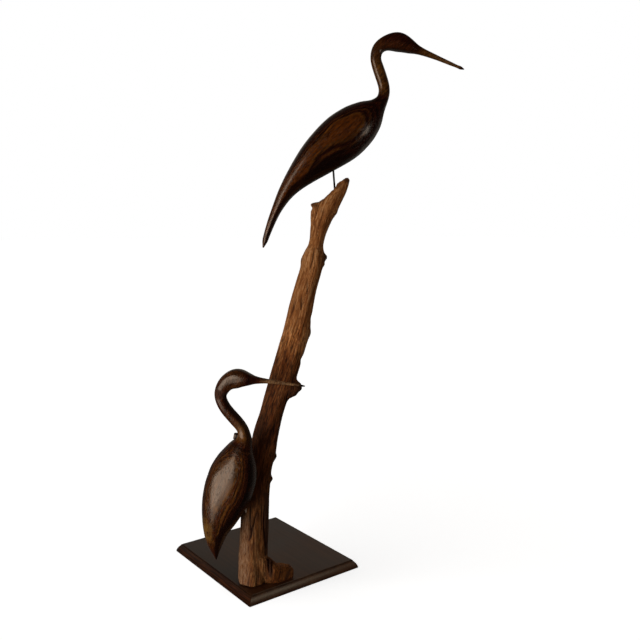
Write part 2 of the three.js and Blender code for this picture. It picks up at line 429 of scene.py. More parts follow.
# Rows from the tail's tip to the beak's tip: x, z, half height and half width.
UPPER_HERON_LINE = [
    (1.6, 443.8, 0.8, 0.8),
    (7.8, 464, 4.7, 4.4),
    (19.8, 494, 6.6, 6.6),
    (38, 525, 12.2, 11.5),
    (75.3, 563.2, 26.2, 21.5),
    (109, 590, 32.3, 25.5),
    (130.5, 607.3, 29, 23.5),
    (145.7, 621, 21.1, 18.5),
    (155.5, 631.2, 11.4, 11.2),
    (161.8, 640.5, 7.7, 7.7),
    (163.8, 653, 7.5, 7.2),
    (156.9, 675, 7.7, 7.2),
    (152, 691, 7.2, 7),
    (154.6, 702.8, 7.9, 7.8),
    (163.6, 710.2, 9.2, 9),
    (181, 712.4, 12.3, 11),
    (197.4, 706.2, 9, 8.6),
    (208, 701.8, 5.5, 5.6),
    (228, 694.1, 3.4, 3.5),
    (256, 682.6, 2.3, 2.3),
    (268.6, 677.5, 0.5, 0.5),
]
LOWER_HERON_LINE = [
    (-54.9, 46.8, 0.8, 0.8),
    (-55.3, 53.5, 3.8, 3.6),
    (-56.3, 66, 9.7, 8.8),
    (-54.6, 85.8, 16.6, 14.2),
    (-49.6, 104.5, 23.7, 19),
    (-43.5, 123.5, 28.8, 22.5),
    (-36.5, 142.7, 31.6, 24.5),
    (-31, 161.4, 30.6, 24),
    (-26.2, 178, 25.8, 21),
    (-21.7, 192.5, 18, 16),
    (-17.3, 204, 11.2, 11),
    (-16.8, 211, 8.6, 8.4),
    (-19, 220, 7.4, 7.2),
    (-28.8, 232.8, 7.8, 7.2),
    (-39.5, 245.7, 7.6, 7.2),
    (-45.4, 258.5, 7.4, 7.2),
    (-44.8, 267.5, 8.4, 8),
    (-37.5, 278.5, 10.4, 8.4),
    (-24.5, 284.3, 12.5, 10.4),
    (-10, 283, 8, 10.8),
    (-1, 281.9, 4.8, 6.0),
    (15, 280.4, 2.8, 3),
    (45, 276.3, 1.7, 1.7),
    (60.2, 274.2, 0.5, 0.5),
]
UPPER_HERON_BACK = 0
LOWER_HERON_BACK = -100

# How much wider the lower half of a heron's section is than its upper: tail, body, and row numbers
# between which the first passes into the second, and the second into none.
UPPER_FULLER = (0.26, -0.15)
LOWER_FULLER = (0.17, 0.17)
TAIL_ENDS = (2.0, 4.0)
BODY_ENDS = (8, 10.5)

# Where along a heron its thin ends are blunter than its line says, by how much, and over how far.
UPPER_BLUNT = [(0.45, 1.1, 0.35), (19.62, 1.0, 0.3)]
LOWER_BLUNT = [(22.72, 0.6, 0.25)]
UPPER_SEED = 21
LOWER_SEED = 22

# The power of the curve that a head's section follows, which is flatter on the cheeks than a circle's
# 2, and how many rows that reaches. The head is the widest row after the neck's.
CHEEK_POWER = 2.6
CHEEKS_REACH = 1.1
HERON_NECK_ROW = 12

# The chisel's waves: their height and length.
CHISEL_WAVES = 0.12
CHISEL_WAVE_LENGTH = 17

# The chip of wood left at the back of the lower heron's neck, in rows like the herons'.
CHIP_LINE = [
    (-19, 210, 4.6, 3.4),
    (-24, 209.6, 4.6, 3.4),
    (-28, 210.2, 4.2, 3.2),
    (-30, 210.6, 3.4, 2.7),
]
CHIP_SIDES = 32
CHIP_RINGS_PER_ROW = 4
CHIP_SQUARED = 3.5


def widest_row_after(rows, start):
    return max(range(start, len(rows)), key=lambda number: rows[number][3])


def heron(name, line, back, fuller, blunt, seed):
    """A heron's skin over the rows of its line, with faint waves from the chisel. Each of its points
    keeps its row number, and how far up it is in its section, from -1 to 1."""
    rows = [(x, back, z, high, wide) for x, z, high, wide in line]
    head = widest_row_after(rows, HERON_NECK_ROW)

    def fuller_body(place):
        tail, body = fuller
        return (tail + (body - tail) * rise(*TAIL_ENDS, place)) * (1 - rise(*BODY_ENDS, place))

    def swell(place, angle):
        power = CHEEK_POWER
        corner = (np.abs(np.cos(angle)) ** power + np.abs(np.sin(angle)) ** power) ** (-1 / power)
        cheeks = rows[head][3] * (corner - 1) * bell((place - head) / CHEEKS_REACH)
        return cheeks + sum(size * bell((place - tip) / reach) for tip, size, reach in blunt)

    rings, places, angle = rings_along(
        rows, HERON_SIDES, HERON_RINGS_PER_ROW, HERON_PASSES, swell, fuller_body)
    points, faces = skin(rings)
    bird = mesh_object(name, points, faces)
    waves = (noise(points / CHISEL_WAVE_LENGTH, seed) - 1) * CHISEL_WAVES
    set_points(bird, in_row_frame(points + normals_of(bird) * waves[:, None]))
    store(bird, "along", np.concatenate([np.repeat(places, HERON_SIDES), [0.0, places[-1]]]))
    store(bird, "upwards", np.concatenate([np.tile(np.cos(angle), len(places)), [0.0, 0.0]]))
    return bird


def neck_chip():
    rows = [(x, LOWER_HERON_BACK, z, high, wide) for x, z, high, wide in CHIP_LINE]
    rings = rings_along(rows, CHIP_SIDES, CHIP_RINGS_PER_ROW, 0, squared(CHIP_SQUARED))[0]
    points, faces = skin(rings)
    return mesh_object("neck_chip", in_row_frame(points), faces)


# Wood tones, as a share of the light that each of red, green and blue gives back.
AMBER = (0.085, 0.0250, 0.0032)
GOLD = (0.095, 0.0410, 0.0080)
HONEY = (0.105, 0.0520, 0.0180)
TAN = (0.170, 0.0950, 0.0400)
CREAM = (0.190, 0.1200, 0.0650)
OLIVE = (0.160, 0.0950, 0.0230)
OCHRE = (0.050, 0.0200, 0.0045)
CHESTNUT = (0.062, 0.0180, 0.0040)
BROWN = (0.048, 0.0180, 0.0058)
RUSSET = (0.034, 0.0085, 0.0028)
MAROON = (0.023, 0.0040, 0.0019)
DARK = (0.0060, 0.0016, 0.0009)
PORE = (0.0040, 0.0011, 0.0007)

# How the growth layers lie in a heron: the x and z where they come nearest the viewer, the angle of
# the grain there, how round the layers are across and along the grain, the layer nearest the viewer,
# and each layer's tone at its depth behind that one.
UPPER_LAYERS = {
    "heart": (106, 590.8),
    "grain": 42.3,
    "round": 48.5,
    "bend": 250,
    "front": -26.3,
    "tones": [
        (0.0, AMBER), (1.45, AMBER), (1.65, GOLD), (1.85, RUSSET), (2.05, DARK), (2.3, MAROON),
        (2.5, RUSSET), (2.65, GOLD), (2.85, MAROON), (3.3, DARK), (3.8, RUSSET), (4.2, MAROON),
        (5.2, DARK), (6.3, MAROON), (6.8, RUSSET), (7.6, DARK), (9.0, MAROON), (11.0, DARK),
        (13.5, MAROON), (14.8, DARK), (18.0, MAROON), (26.0, DARK), (34.0, MAROON), (50.0, BROWN),
    ],
}
LOWER_LAYERS = {
    "heart": (-23.9, 139.5),
    "grain": 72.1,
    "round": 57.9,
    "bend": 187,
    "front": -127.0,
    "tones": [
        (0.0, OCHRE), (1.2, OCHRE), (1.45, GOLD), (1.7, DARK), (1.95, CHESTNUT), (2.1, BROWN),
        (2.3, DARK), (2.55, GOLD), (2.9, BROWN), (3.35, DARK), (3.65, CHESTNUT), (4.0, BROWN),
        (4.3, DARK), (4.7, RUSSET), (5.2, DARK), (5.6, RUSSET), (6.0, DARK), (11.0, DARK),
        (13.0, MAROON), (15.0, DARK), (22.0, DARK), (34.0, MAROON), (50.0, BROWN),
    ],
}
DEEPEST_LAYER = 50.0

# The tones of neck, head and beak at row numbers of the herons' lines.
UPPER_NECK = [
    (8.0, DARK), (9.0, MAROON), (9.8, GOLD), (11.3, GOLD), (12.6, BROWN), (14.5, CHESTNUT),
    (16.8, RUSSET), (17.6, GOLD), (19.0, TAN), (19.4, GOLD), (19.65, MAROON),
]
LOWER_NECK = [
    (8.5, BROWN), (8.8, RUSSET), (9.0, DARK), (9.2, BROWN), (9.4, DARK), (9.7, RUSSET), (10.6, GOLD),
    (12.0, HONEY), (13.0, BROWN), (14.2, RUSSET), (16.0, RUSSET), (17.0, BROWN), (18.3, BROWN),
    (18.8, MAROON), (19.2, DARK), (19.7, RUSSET), (20.3, RUSSET), (20.7, CREAM), (22.2, CREAM),
    (22.55, DARK),
]
LAST_ROW = 24.0

# Where a heron's tones and gloss change. Along is in rows of its line, up runs from -1 at the bottom
# of its section to 1 at the top, and back is in millimetres. Two numbers say where a tone begins and
# where it is full, four numbers also where it fades and where it has gone.
ALL_THROUGH = (100, 50)
NOWHERE = (-1.0, -2.0)
UPPER_LOOK = {
    "layers": UPPER_LAYERS,
    "neck": UPPER_NECK,
    "neck_along": (8.2, 9.4),
    "crown_along": (13.4, 14.4, 16.4, 17.2),
    "crown_up": (-0.40, 0.05),
    "shaded_throat_up": (-0.55, -0.9),
    "dull_along": (19.2, 19.6, 21, 22),
    "tail_along": (-2.0, -1.0, 2.4, 3.7),
    "tail_back": ALL_THROUGH,
    "tail_tone": BROWN,
    "tip_along": NOWHERE,
}
LOWER_LOOK = {
    "layers": LOWER_LAYERS,
    "neck": LOWER_NECK,
    "neck_along": (8.6, 9.3),
    "crown_along": (18.6, 19.2, 20.0, 20.6),
    "crown_up": (0.0, 0.45),
    "shaded_throat_up": (-0.10, -0.50),
    "dull_along": (14.8, 15.3, 16.0, 16.4),
    "tail_along": (2.2, 2.8, 3.2, 4.1),
    "tail_back": (-99, -106),
    "tail_tone": OLIVE,
    "tip_along": (2.7, 1.5),
}
TAIL_UP = (0.1, 0.5)
# Where painted shade lies on the throat and on the underside of the tail, which face away from the
# light.
SHADED_THROAT_ALONG = (9.0, 10.5, 15.5, 17.0)
SHADED_UNDERSIDE_ALONG = (5.6, 4.0)
SHADED_UNDERSIDE_UP = (0.28, 0.10)
SHADED_UNDERSIDE_DROP = 0.13

# How much of what lies below it each marking covers, from 0 to 1.
CROWN_COVER = 0.93
MOTTLE_COVER = 0.6
GLOW_COVER = 0.35
PORE_COVER = 0.6
TAIL_COVER = 0.75
TIP_COVER = 0.8
SHADED_THROAT_COVER = 0.85
SHADED_UNDERSIDE_COVER = 0.9

# Lumps to a millimetre of each noise in the grain: across it, through it and along it.
HERON_WANDER = (0.05, 0.05, 0.018)
HERON_RIPPLE = (0.5, 0.5, 0.06)
HERON_STREAKS = (0.40, 0.40, 0.026)
HERON_MOTTLE = (0.13, 0.13, 0.06)
HERON_FLECKS = (0.8, 0.8, 0.18)
HERON_PORES = (1.3, 1.3, 0.2)

HERON_POLISH = 0.11
FLECKS_ROUGHER = 0.08
PORES_ROUGHER = 0.26
DULL_ROUGHER = 0.70
HERON_BUMP = 0.22
HERON_BUMP_REACH = 0.0003


def log_grain(finish, layers):
    """The place in the grain, how far back it is, and how deep behind the layer nearest the viewer.
    The layers are those of a log, so they bend away across the grain and, less, along it."""
    turn = math.radians(layers["grain"] - 90)
    x, z = layers["heart"]
    shift = (
        -x * math.cos(turn) - z * math.sin(turn),
        0,
        x * math.sin(turn) - z * math.cos(turn),
    )
    sockets = {"Vector": finish.place(-BEAKS_TURNED), "Rotation": (0, turn, 0), "Location": shift}
    grain = finish.add("Mapping", {"vector_type": "POINT"}, sockets)
    parts = finish.add("SeparateXYZ", {}, [grain])
    across, back, up = (Signal(finish, socket) for socket in parts.socket.node.outputs)
    depth = back - across * across / (2 * layers["round"])
    depth = depth - up * up / (2 * layers["bend"]) - layers["front"]
    return grain, back, depth


def heron_wood(name, look):
    """Polished dark wood. Its growth layers show as nested ovals on the flanks, and the throat and the
    underside of the tail are painted with shade.
    """
    finish = Finish(name)
    grain, back, depth = log_grain(finish, look["layers"])
    wander = finish.spots(grain, HERON_WANDER, 2.0) - 0.5
    ripple = finish.spots(grain, HERON_RIPPLE, 2.0) - 0.5
    streaks = finish.spots(grain, HERON_STREAKS, 3.0, 0.6)
    mottle = finish.spots(grain, HERON_MOTTLE, 4.0, 0.62)
    flecks = finish.spots(grain, HERON_FLECKS, 3.0, 0.65)
    pores = finish.spots(grain, HERON_PORES, 2.0, 0.7).between(0.53, 0.67)
    along, upwards = finish.kept("along"), finish.kept("upwards")

    layer = depth * (1 + wander * 0.2) + ripple * 0.5 + wander * 0.2
    figure = finish.ramp(layer, look["layers"]["tones"], DEEPEST_LAYER)
    neck_tones = finish.ramp(along + ripple * 0.6, look["neck"], LAST_ROW)
    colour = finish.mix(along.between(*look["neck_along"]), figure, neck_tones)
    crown = upwards.between(*look["crown_up"]) * along.within(*look["crown_along"])
    colour = finish.mix(crown * CROWN_COVER, colour, MAROON)
    colour = finish.mix(mottle.between(0.53, 0.64) * MOTTLE_COVER, colour, RUSSET)
    light = streaks.between(0.30, 0.70, 0.5, 1.5) * flecks.between(0.3, 0.7, 0.65, 1.35)
    colour = finish.shade(colour, light)
    glow = flecks.between(0.56, 0.68) * streaks.between(0.45, 0.60)
    colour = finish.mix(glow * GLOW_COVER, colour, GOLD)
    colour = finish.mix(pores * PORE_COVER, colour, PORE)

    tail = upwards.between(*TAIL_UP) * mottle.between(0.35, 0.55)
    tail = tail * along.within(*look["tail_along"]) * back.between(*look["tail_back"])
    colour = finish.mix(tail * TAIL_COVER, colour, look["tail_tone"])
    tip = along.between(*look["tip_along"])
    colour = finish.mix(tip * TIP_COVER, colour, MAROON)
    # Painted shade on the underside of the tail and on the throat.
    underside = (upwards + along * SHADED_UNDERSIDE_DROP + ripple * 0.4).between(*SHADED_UNDERSIDE_UP)
    underside = underside * along.between(*SHADED_UNDERSIDE_ALONG)
    shaded_throat = upwards.between(*look["shaded_throat_up"]) * along.within(*SHADED_THROAT_ALONG)
    underside = underside + shaded_throat * SHADED_THROAT_COVER
    colour = finish.mix(underside * SHADED_UNDERSIDE_COVER, colour, DARK)

    dull = along.within(*look["dull_along"])
    roughness = HERON_POLISH + flecks * FLECKS_ROUGHER + pores * PORES_ROUGHER + dull * DULL_ROUGHER
    changing = {"Base Color": colour, "Roughness": roughness}
    return finish.close(changing, {}, -pores - flecks * 0.5, HERON_BUMP, HERON_BUMP_REACH)


# The post


# Rows from the foot up: height, the x of the left edge and of the right edge, half depth.
POST_SLICES = [
    (11.6, -28.8, 10, 23),
    (47, -27.8, 9.7, 20),
    (75, -26.2, 11, 19),
    (110, -24.5, 11.8, 18),
    (150, -18.8, 14, 18),
    (174, -14.8, 20.2, 18),
    (198, -10.2, 23.4, 18),
    (240, 2.5, 34.5, 18.5),
    (276, 12.4, 48.5, 19),
    (302, 20.4, 56.2, 18.5),
    (332, 28.5, 64.6, 18.5),
    (381, 41.3, 72.3, 17),
    (420, 53, 82.8, 16.5),
    (436, 56.6, 83.6, 16),
    (449, 63.3, 83.4, 14),
    (474, 66, 91.8, 14),
    (500, 68, 105.2, 15),
    (520, 80, 114.6, 12),
    (545, 97, 122, 7),
]
POST_BOTTOM = 11.6
POST_FOOT_BACK = -85
POST_LEAN_BACK = 0.162
POST_SIDES = 120
POST_RING_SPACING = 1.4
POST_FOOT_ROUND = 4.0
POST_FACE = 0.96

# Shallow flutes that wind round the post: how many, how deep as a share of its girth, and in how many
# millimetres their waves move on by one radian.
FLUTES = [(5, 0.03, 70), (8, 0.025, -110)]

# Height, angle from the right-hand edge in degrees, how far it stands out, half height, and half
# width in radians. The first three make the nub behind the lower beak.
POST_KNOTS = [
    (259.5, -12, 13.2, 11, 0.7),
    (266.3, -12, 3.2, 4.5, 0.6),
    (251.5, -12, 4.2, 4.8, 0.6),
    (431.5, 0, 5.4, 6.5, 0.45),
    (422, 0, 2, 5, 0.45),
    (489, 0, 1.6, 8, 0.5),
    (352, 0, -1.2, 7, 0.5),
    (331, 0, 2, 9, 0.5),
    (297, 0, -1.8, 7, 0.5),
    (170, 0, 2.4, 5.5, 0.5),
    (142, 0, 2.8, 4.5, 0.5),
    (428, 175, 1.5, 9, 0.6),
    (501.5, 180, 2.4, 2.6, 0.5),
    (496, 180, -2, 3.5, 0.5),
    (210, 100, 3, 12, 0.5),
    (360, 75, 2.5, 10, 0.5),
]
FULL_KNOT = 5
KNOT_EDGE = 1.1

# The torn end's outline from the front, as x and height.
TORN_END = [
    (60, 503.4),
    (69, 503.8),
    (77.3, 505.6),
    (84.2, 509.6),
    (90.3, 515.7),
    (96.5, 521.5),
    (100, 525.5),
    (101.8, 529.8),
    (108.2, 533.6),
    (113.5, 537),
    (116.5, 537.2),
    (119.4, 534),
    (127, 523),
]

# What roughens it: the fibres' width, how many bundles of them there are to a fibre, and for fibres
# and bundles the seed of their noise and how high they stand. It stays smooth where y is that of its
# outline, and sags away from its ridge.
TORN_FIBRE = 1.7
TORN_BUNDLE = 0.35
TORN_ROUGHNESS = ((31, 0.9), (32, 1.4))
TORN_SAG = 0.0072
TORN_RIDGE = -2
TORN_RIDGE_DROP = 0.54
TORN_OUTLINE = -12
TORN_STEP = 0.9
TORN_X = (56, 131.01)
TORN_Y = (-32, 32.01)
TORN_ABOVE = 600.0
TORN_LOWEST = 495
FACES_UP = 0.2
FACES_DOWN = -0.8

# The root toe, in rows: x, y, z, half height and half width.
TOE_LINE = [
    (-8, -90, 34, 20, 10),
    (6, -88, 27, 17, 10.5),
    (14, -86.5, 21.5, 14.4, 11.8),
    (21, -84, 19.2, 13.4, 12.8),
    (29, -79.5, 18.2, 12.4, 12.2),
    (35.5, -75.5, 17.6, 10.6, 10.4),
    (39, -73, 17.4, 8, 8),
    (40.4, -72, 17.4, 5.5, 5.5),
]

# Cracks on the post's front: the x and z of their points, half width and depth.
FRONT_CRACKS = [
    ([(-12.3, 113), (-12.2, 99), (-12.0, 90), (-10.9, 80)], 1.05, 2.6),
    ([(-3.0, 104), (-7.0, 90.5), (-9.8, 84), (-10.7, 76), (-12.4, 70)], 1.45, 3.6),
    ([(3.2, 114), (3.5, 97), (3.0, 79)], 0.6, 1.4),
    ([(-1.2, 110), (-0.4, 99)], 0.6, 1.0),
    ([(6.6, 112), (6.2, 84), (7.6, 66), (8.6, 54)], 1.0, 1.6),
    ([(10.2, 62), (11.0, 50.5), (12.6, 40), (13.0, 28)], 1.2, 3.6),
    ([(13.6, 54), (15.6, 47), (16.6, 38), (16.6, 26)], 1.0, 3.2),
    ([(27.5, 31), (28.5, 25), (27.5, 18)], 0.7, 1.2),
    ([(37.7, 259), (36.3, 251), (34.3, 243), (33.0, 228)], 0.8, 2.0),
    ([(71.5, 444), (69.6, 431), (66.0, 416)], 0.7, 1.2),
    ([(62.5, 405), (61.8, 384)], 0.6, 1.0),
    ([(54.6, 380), (54.0, 364)], 0.6, 1.0),
]

# Dark marks on the post's front: the x and z of the points they run along, reach and strength. Those
# beside and under the lower heron, down the stem's right-hand side and in the fold above the toe are
# painted shade.
DARK_MARKS_AND_SHADE = [
    ([(69.2, 500.8), (74.4, 500.0)], 2.6, 0.8),
    ([(98.0, 525.5), (104.0, 525.5)], 2.4, 0.55),
    ([(113.0, 534.5), (119.0, 531.0)], 3.2, 0.8),
    ([(85.6, 437.0), (85.4, 426.0)], 3.6, 0.8),
    ([(8.2, 125), (8.6, 95), (9.2, 70), (12.0, 50), (14.0, 34), (15.0, 24)], 3.5, 0.95),
    ([(-11.8, 108), (-11.2, 84)], 1.8, 0.6),
    ([(-6.0, 122.0), (-19.0, 119.0), (-25.0, 98.0)], 6.0, 0.95),
    ([(14.0, 53.0), (17.5, 40.0)], 4.0, 0.9),
    ([(36.5, 14.0), (40.0, 24.0)], 2.8, 0.8),
    ([(3.0, 212.0), (1.0, 170.0), (0.0, 122.0)], 9.0, 0.62),
    ([(20.5, 176.0), (20.5, 168.0)], 2.8, 0.7),
    ([(15.5, 148.0), (15.5, 141.0)], 2.8, 0.7),
    ([(44.0, 262.0), (50.0, 254.0), (44.0, 248.0)], 2.8, 0.6),
]

# What the light given back by the post is multiplied by at each height. Part is the wood's own tone,
# greyer at the foot, and part is a painted shadow of the lower heron, deepest from about 124 to 298 mm
# up.
TONE_AND_SHADOW_DOWN_POST = [
    (0, (0.36, 0.32, 0.26)),
    (60, (0.38, 0.36, 0.31)),
    (108, (0.33, 0.31, 0.28)),
    (124, (0.21, 0.15, 0.10)),
    (205, (0.17, 0.10, 0.06)),
    (245, (0.27, 0.20, 0.15)),
    (298, (0.33, 0.24, 0.17)),
    (325, (0.72, 0.66, 0.58)),
    (400, (0.86, 0.82, 0.78)),
    (440, (0.90, 0.90, 0.90)),
]
POST_TOP = 545.0


def post_middle(height):
    """The post's middle at each height, as x and y."""
    slices = np.asarray(POST_SLICES, float)
    across = np.interp(height, slices[:, 0], (slices[:, 1] + slices[:, 2]) / 2)
    return across, POST_FOOT_BACK + POST_LEAN_BACK * (height - POST_BOTTOM)


def angle_from(angle, degrees):
    """How far angles are from one in degrees, the short way round."""
    turn = angle - math.radians(degrees)
    return np.arctan2(np.sin(turn), np.cos(turn))


def stick():
    """The whole stick before its end was torn away."""
    slices = np.asarray(POST_SLICES, float)
    places = [np.zeros(1)]
    for span, tall in enumerate(np.diff(slices[:, 0])):
        count = round(tall / POST_RING_SPACING)
        places.append(span + np.arange(1, count + 1) / count)
    places = np.concatenate(places)
    edges = spline(slices[:, [1, 2, 0]], places)
    empty = np.zeros(len(slices))
    deep = spline(np.column_stack([slices[:, 3], empty, slices[:, 0]]), places)[:, :1]
    left, right, z = (edges[:, k:k + 1] for k in range(3))
    angle = np.arange(POST_SIDES)[None, :] / POST_SIDES * 2 * math.pi
    fluting = sum(size * np.cos(count * angle + z / wind) for count, size, wind in FLUTES)
    size = 1 + np.sin(angle) ** 2 * fluting
    knot = np.zeros_like(size)
    for height, turned, out, tall, wide in POST_KNOTS:
        around = angle_from(angle, turned) / wide
        knot += out * bell(math.sqrt(2) * np.hypot((z - height) / tall, around))
    under = np.clip(POST_FOOT_ROUND - (z - POST_BOTTOM), 0, POST_FOOT_ROUND)
    knot = knot - (POST_FOOT_ROUND - np.sqrt(POST_FOOT_ROUND ** 2 - under ** 2))
    x = (left + right) / 2 + (size * (right - left) / 2 + knot) * np.cos(angle)
    y = POST_FOOT_BACK + POST_LEAN_BACK * (z - POST_BOTTOM) + (size * deep + knot) * np.sin(angle)
    return np.stack([x, y, np.broadcast_to(z, x.shape)], axis=-1)


def torn_height(x, y):
    """The height of the torn end over x and y."""
    outline = np.array(TORN_END)
    fibres = np.column_stack([x / TORN_FIBRE, y / TORN_FIBRE, np.zeros(len(x))])
    (fibre_seed, fibre_height), (bundle_seed, bundle_height) = TORN_ROUGHNESS
    rough = noise(fibres, fibre_seed) * fibre_height
    rough = rough + noise(fibres * TORN_BUNDLE, bundle_seed) * bundle_height
    rough = rough * rise(1.0, 8.0, np.abs(y - TORN_OUTLINE))
    sag = TORN_SAG * (y - TORN_RIDGE) ** 2 + TORN_RIDGE_DROP
    return np.interp(x, outline[:, 0], outline[:, 1]) + rough - sag


def torn_away():
    """The block that is cut off the stick's end, with a rough underside."""
    xs = np.arange(*TORN_X, TORN_STEP)
    ys = np.arange(*TORN_Y, TORN_STEP)
    x, y = np.meshgrid(xs, ys, indexing="ij")
    under = torn_height(x.ravel(), y.ravel())
    points = np.vstack([
        np.column_stack([x.ravel(), y.ravel(), under]),
        np.column_stack([x.ravel(), y.ravel(), np.full(x.size, TORN_ABOVE)]),
    ])
    wide, deep = len(xs), len(ys)
    index = np.arange(x.size).reshape(wide, deep)
    low = np.stack([index[:-1, :-1], index[:-1, 1:], index[1:, 1:], index[1:, :-1]], -1).reshape(-1, 4)
    rim = np.concatenate([index[:, 0], index[-1, 1:], index[-2::-1, -1], index[0, -2:0:-1]])
    ahead = np.roll(rim, -1)
    walls = np.stack([rim, ahead, ahead + x.size, rim + x.size], -1)
    faces = low.tolist() + (low[:, ::-1] + x.size).tolist() + walls.tolist()
    return points, faces


def block_below(level):
    """A block whose top is at this level, for cutting a flat underside."""
    half, thick = 150.0, 60.0
    ring = np.array([(half, half), (-half, half), (-half, -half), (half, -half)])
    levels = (level - thick, level)
    return skin(np.array([np.column_stack([ring, np.full(4, z)]) for z in levels]))


def distance_to_line(points, line):
    """How far each point of a plane is from a line of straight pieces, and how far along it is."""
    best = np.full(len(points), 1e9)
    share = np.zeros(len(points))
    pieces = list(zip(line[:-1], line[1:]))
    for number, (start, end) in enumerate(pieces):
        start, along = np.array(start), np.array(end) - np.array(start)
        part = np.clip((points - start) @ along / (along @ along), 0, 1)
        away = np.linalg.norm(points - start - part[:, None] * along, axis=1)
        share = np.where(away < best, (number + part) / len(pieces), share)
        best = np.minimum(best, away)
    return best, share


# The post's relief: the size of its lumps in millimetres, the seed of their noise and their height.
RIDGES = ((2.4, 2.4, 34), 12, 0.5)
LUMPS = ((9, 9, 40), 14, 0.7)
CHUNKS = ((6, 6, 14), 17, 0.8)
SPLINTERS = ((2.2, 2.2, 7), 18, 0.6)
CRACK_LINES = ((5.5, 5.5, 90), 16, 1.0)
CRACKED_PARTS = ((9, 9, 60), 15, 1.0)
# The cracks' half width in the noise, their depth in millimetres, and how dark their painted shade is.
CRACK_HALF = 0.07
CRACK_DEPTH = 1.1
CRACK_SHADE = 0.8
FIBRE_BEND = ((30, 30, 60), 11, 1.0)
FIBRE_SHIFT = (2.5, 2.5, 0)

# Where the toe's broken end begins and is full, and the same for what faces the front.
BROKEN_X = (14, 24)
BROKEN_Z = (52, 40)
FRONT_CRACK_FACING = (-0.05, -0.25)
FRONT_MARK_FACING = (0.3, -0.1)


def relief(points, kind):
    size, seed, height = kind
    return noise(points / size, seed) * height


def fibre_places(points):
    """Where each point is among the fibres, which run up the post with a slight bend, and the angle
    round the post."""
    across, back = post_middle(points[:, 2])
    local = np.column_stack([points[:, 0] - across, points[:, 1] - back, points[:, 2]])
    fibre = local + np.outer(relief(local, FIBRE_BEND), FIBRE_SHIFT)
    return fibre, np.arctan2(local[:, 1], local[:, 0])


def weathering(points, outwards, fibre):
    """How far each point of the post is moved outwards, and how much painted shade its cracks give it.
    """
    cracked = rise(-0.05, 0.35, relief(fibre, CRACKED_PARTS))
    crack = bell(relief(fibre, CRACK_LINES) / CRACK_HALF) * cracked
    toe = rise(*BROKEN_X, points[:, 0]) * rise(*BROKEN_Z, points[:, 2])
    broken = relief(points, CHUNKS) + relief(points, SPLINTERS)
    moved = relief(fibre, RIDGES) + relief(fibre, LUMPS) * (1 - toe) + broken * toe
    moved = moved - crack * CRACK_DEPTH
    hollow = crack * CRACK_SHADE
    front = rise(*FRONT_CRACK_FACING, outwards[:, 1])
    for line, half, deep in FRONT_CRACKS:
        away, share = distance_to_line(points[:, [0, 2]], line)
        taper = np.sqrt(np.sin(math.pi * np.clip(share, 0.03, 0.97)))
        cutting = bell(away / (half * (0.5 + 0.5 * taper))) * front
        moved = moved - cutting * deep * taper
        hollow = np.maximum(hollow, cutting)
    return moved, hollow


def dark_marks_and_shade_on(points, outwards):
    """How dark each point of the post is marked. Some of the marks are painted shade."""
    darkness = np.zeros(len(points))
    for line, reach, strength in DARK_MARKS_AND_SHADE:
        away = distance_to_line(points[:, [0, 2]], line)[0]
        darkness = np.maximum(darkness, bell(away / reach) * strength)
    return darkness * rise(*FRONT_MARK_FACING, outwards[:, 1])


def knots_on(points, turn):
    """How much of a knot each point of the post is."""
    knot = np.zeros(len(points))
    for height, turned, out, tall, wide in POST_KNOTS:
        around = angle_from(turn, turned) / wide
        spread = bell(KNOT_EDGE * np.hypot((points[:, 2] - height) / tall, around))
        knot = np.maximum(knot, spread * min(1, out / FULL_KNOT))
    return knot


TOE_SIDES = 84
TOE_RINGS_PER_ROW = 12
TOE_SQUARED = 5.0
TORN_RELIEF = 0.4
KNOT_DARK = 0.8


def post():
    """The weathered stick with its torn end and its root toe. Its points keep where they are among the
    fibres, how much painted shade their cracks get, how dark their knots and marks are, some of that
    painted shade, and how torn they are."""
    stem = mesh_object("driftwood_post_carved", *skin(stick()))
    cut(stem, mesh_object("torn_away", *torn_away()), "DIFFERENCE")
    toe = rings_along(TOE_LINE, TOE_SIDES, TOE_RINGS_PER_ROW, 0, squared(TOE_SQUARED))[0]
    cut(stem, mesh_object("toe", *skin(toe)), "UNION")
    cut(stem, mesh_object("below", *block_below(POST_BOTTOM)), "DIFFERENCE")
    remesh(stem, POST_FACE)
    points, outwards = points_of(stem), normals_of(stem)
    torn = np.abs(points[:, 2] - torn_height(points[:, 0], points[:, 1])) < POST_FACE
    torn &= (points[:, 2] > TORN_LOWEST) & (outwards[:, 2] > FACES_UP)
    under = (points[:, 2] < POST_BOTTOM + POST_FACE) & (outwards[:, 2] < FACES_DOWN)
    fibre, turn = fibre_places(points)
    moved, hollow = weathering(points, outwards, fibre)
    moved = np.where(under, 0, moved * np.where(torn, TORN_RELIEF, 1))
    shifted = points + outwards * moved[:, None]
    shifted[:, 2] = np.maximum(shifted[:, 2], POST_BOTTOM)
    set_points(stem, in_row_frame(shifted))
    store(stem, "fibre", fibre)
    store(stem, "hollow", hollow)
    # The knot attribute holds the dark of the knots and of the marks, some of which is painted shade.
    store(stem, "knot", np.maximum(knots_on(points, turn) * KNOT_DARK, dark_marks_and_shade_on(points, outwards)))
    store(stem, "torn", torn.astype(float))
    return stem


DRIFTWOOD_TONES = [
    (0.22, (0.110, 0.036, 0.008)),
    (0.40, (0.220, 0.088, 0.024)),
    (0.52, (0.330, 0.155, 0.054)),
    (0.72, (0.500, 0.310, 0.165)),
]
# The foot's left side: grey weathered wood with a painted sheen from the light on the left.
BLEACHED_AND_SHEEN = (0.240, 0.165, 0.115)
DOT_BROWN = (0.075, 0.024, 0.007)
TORN_WOOD = (0.230, 0.110, 0.045)
KNOT_AND_SHADE_BROWN = (0.026, 0.010, 0.005)
CRACK_SHADE_BLACK = (0.012, 0.0026, 0.0012)

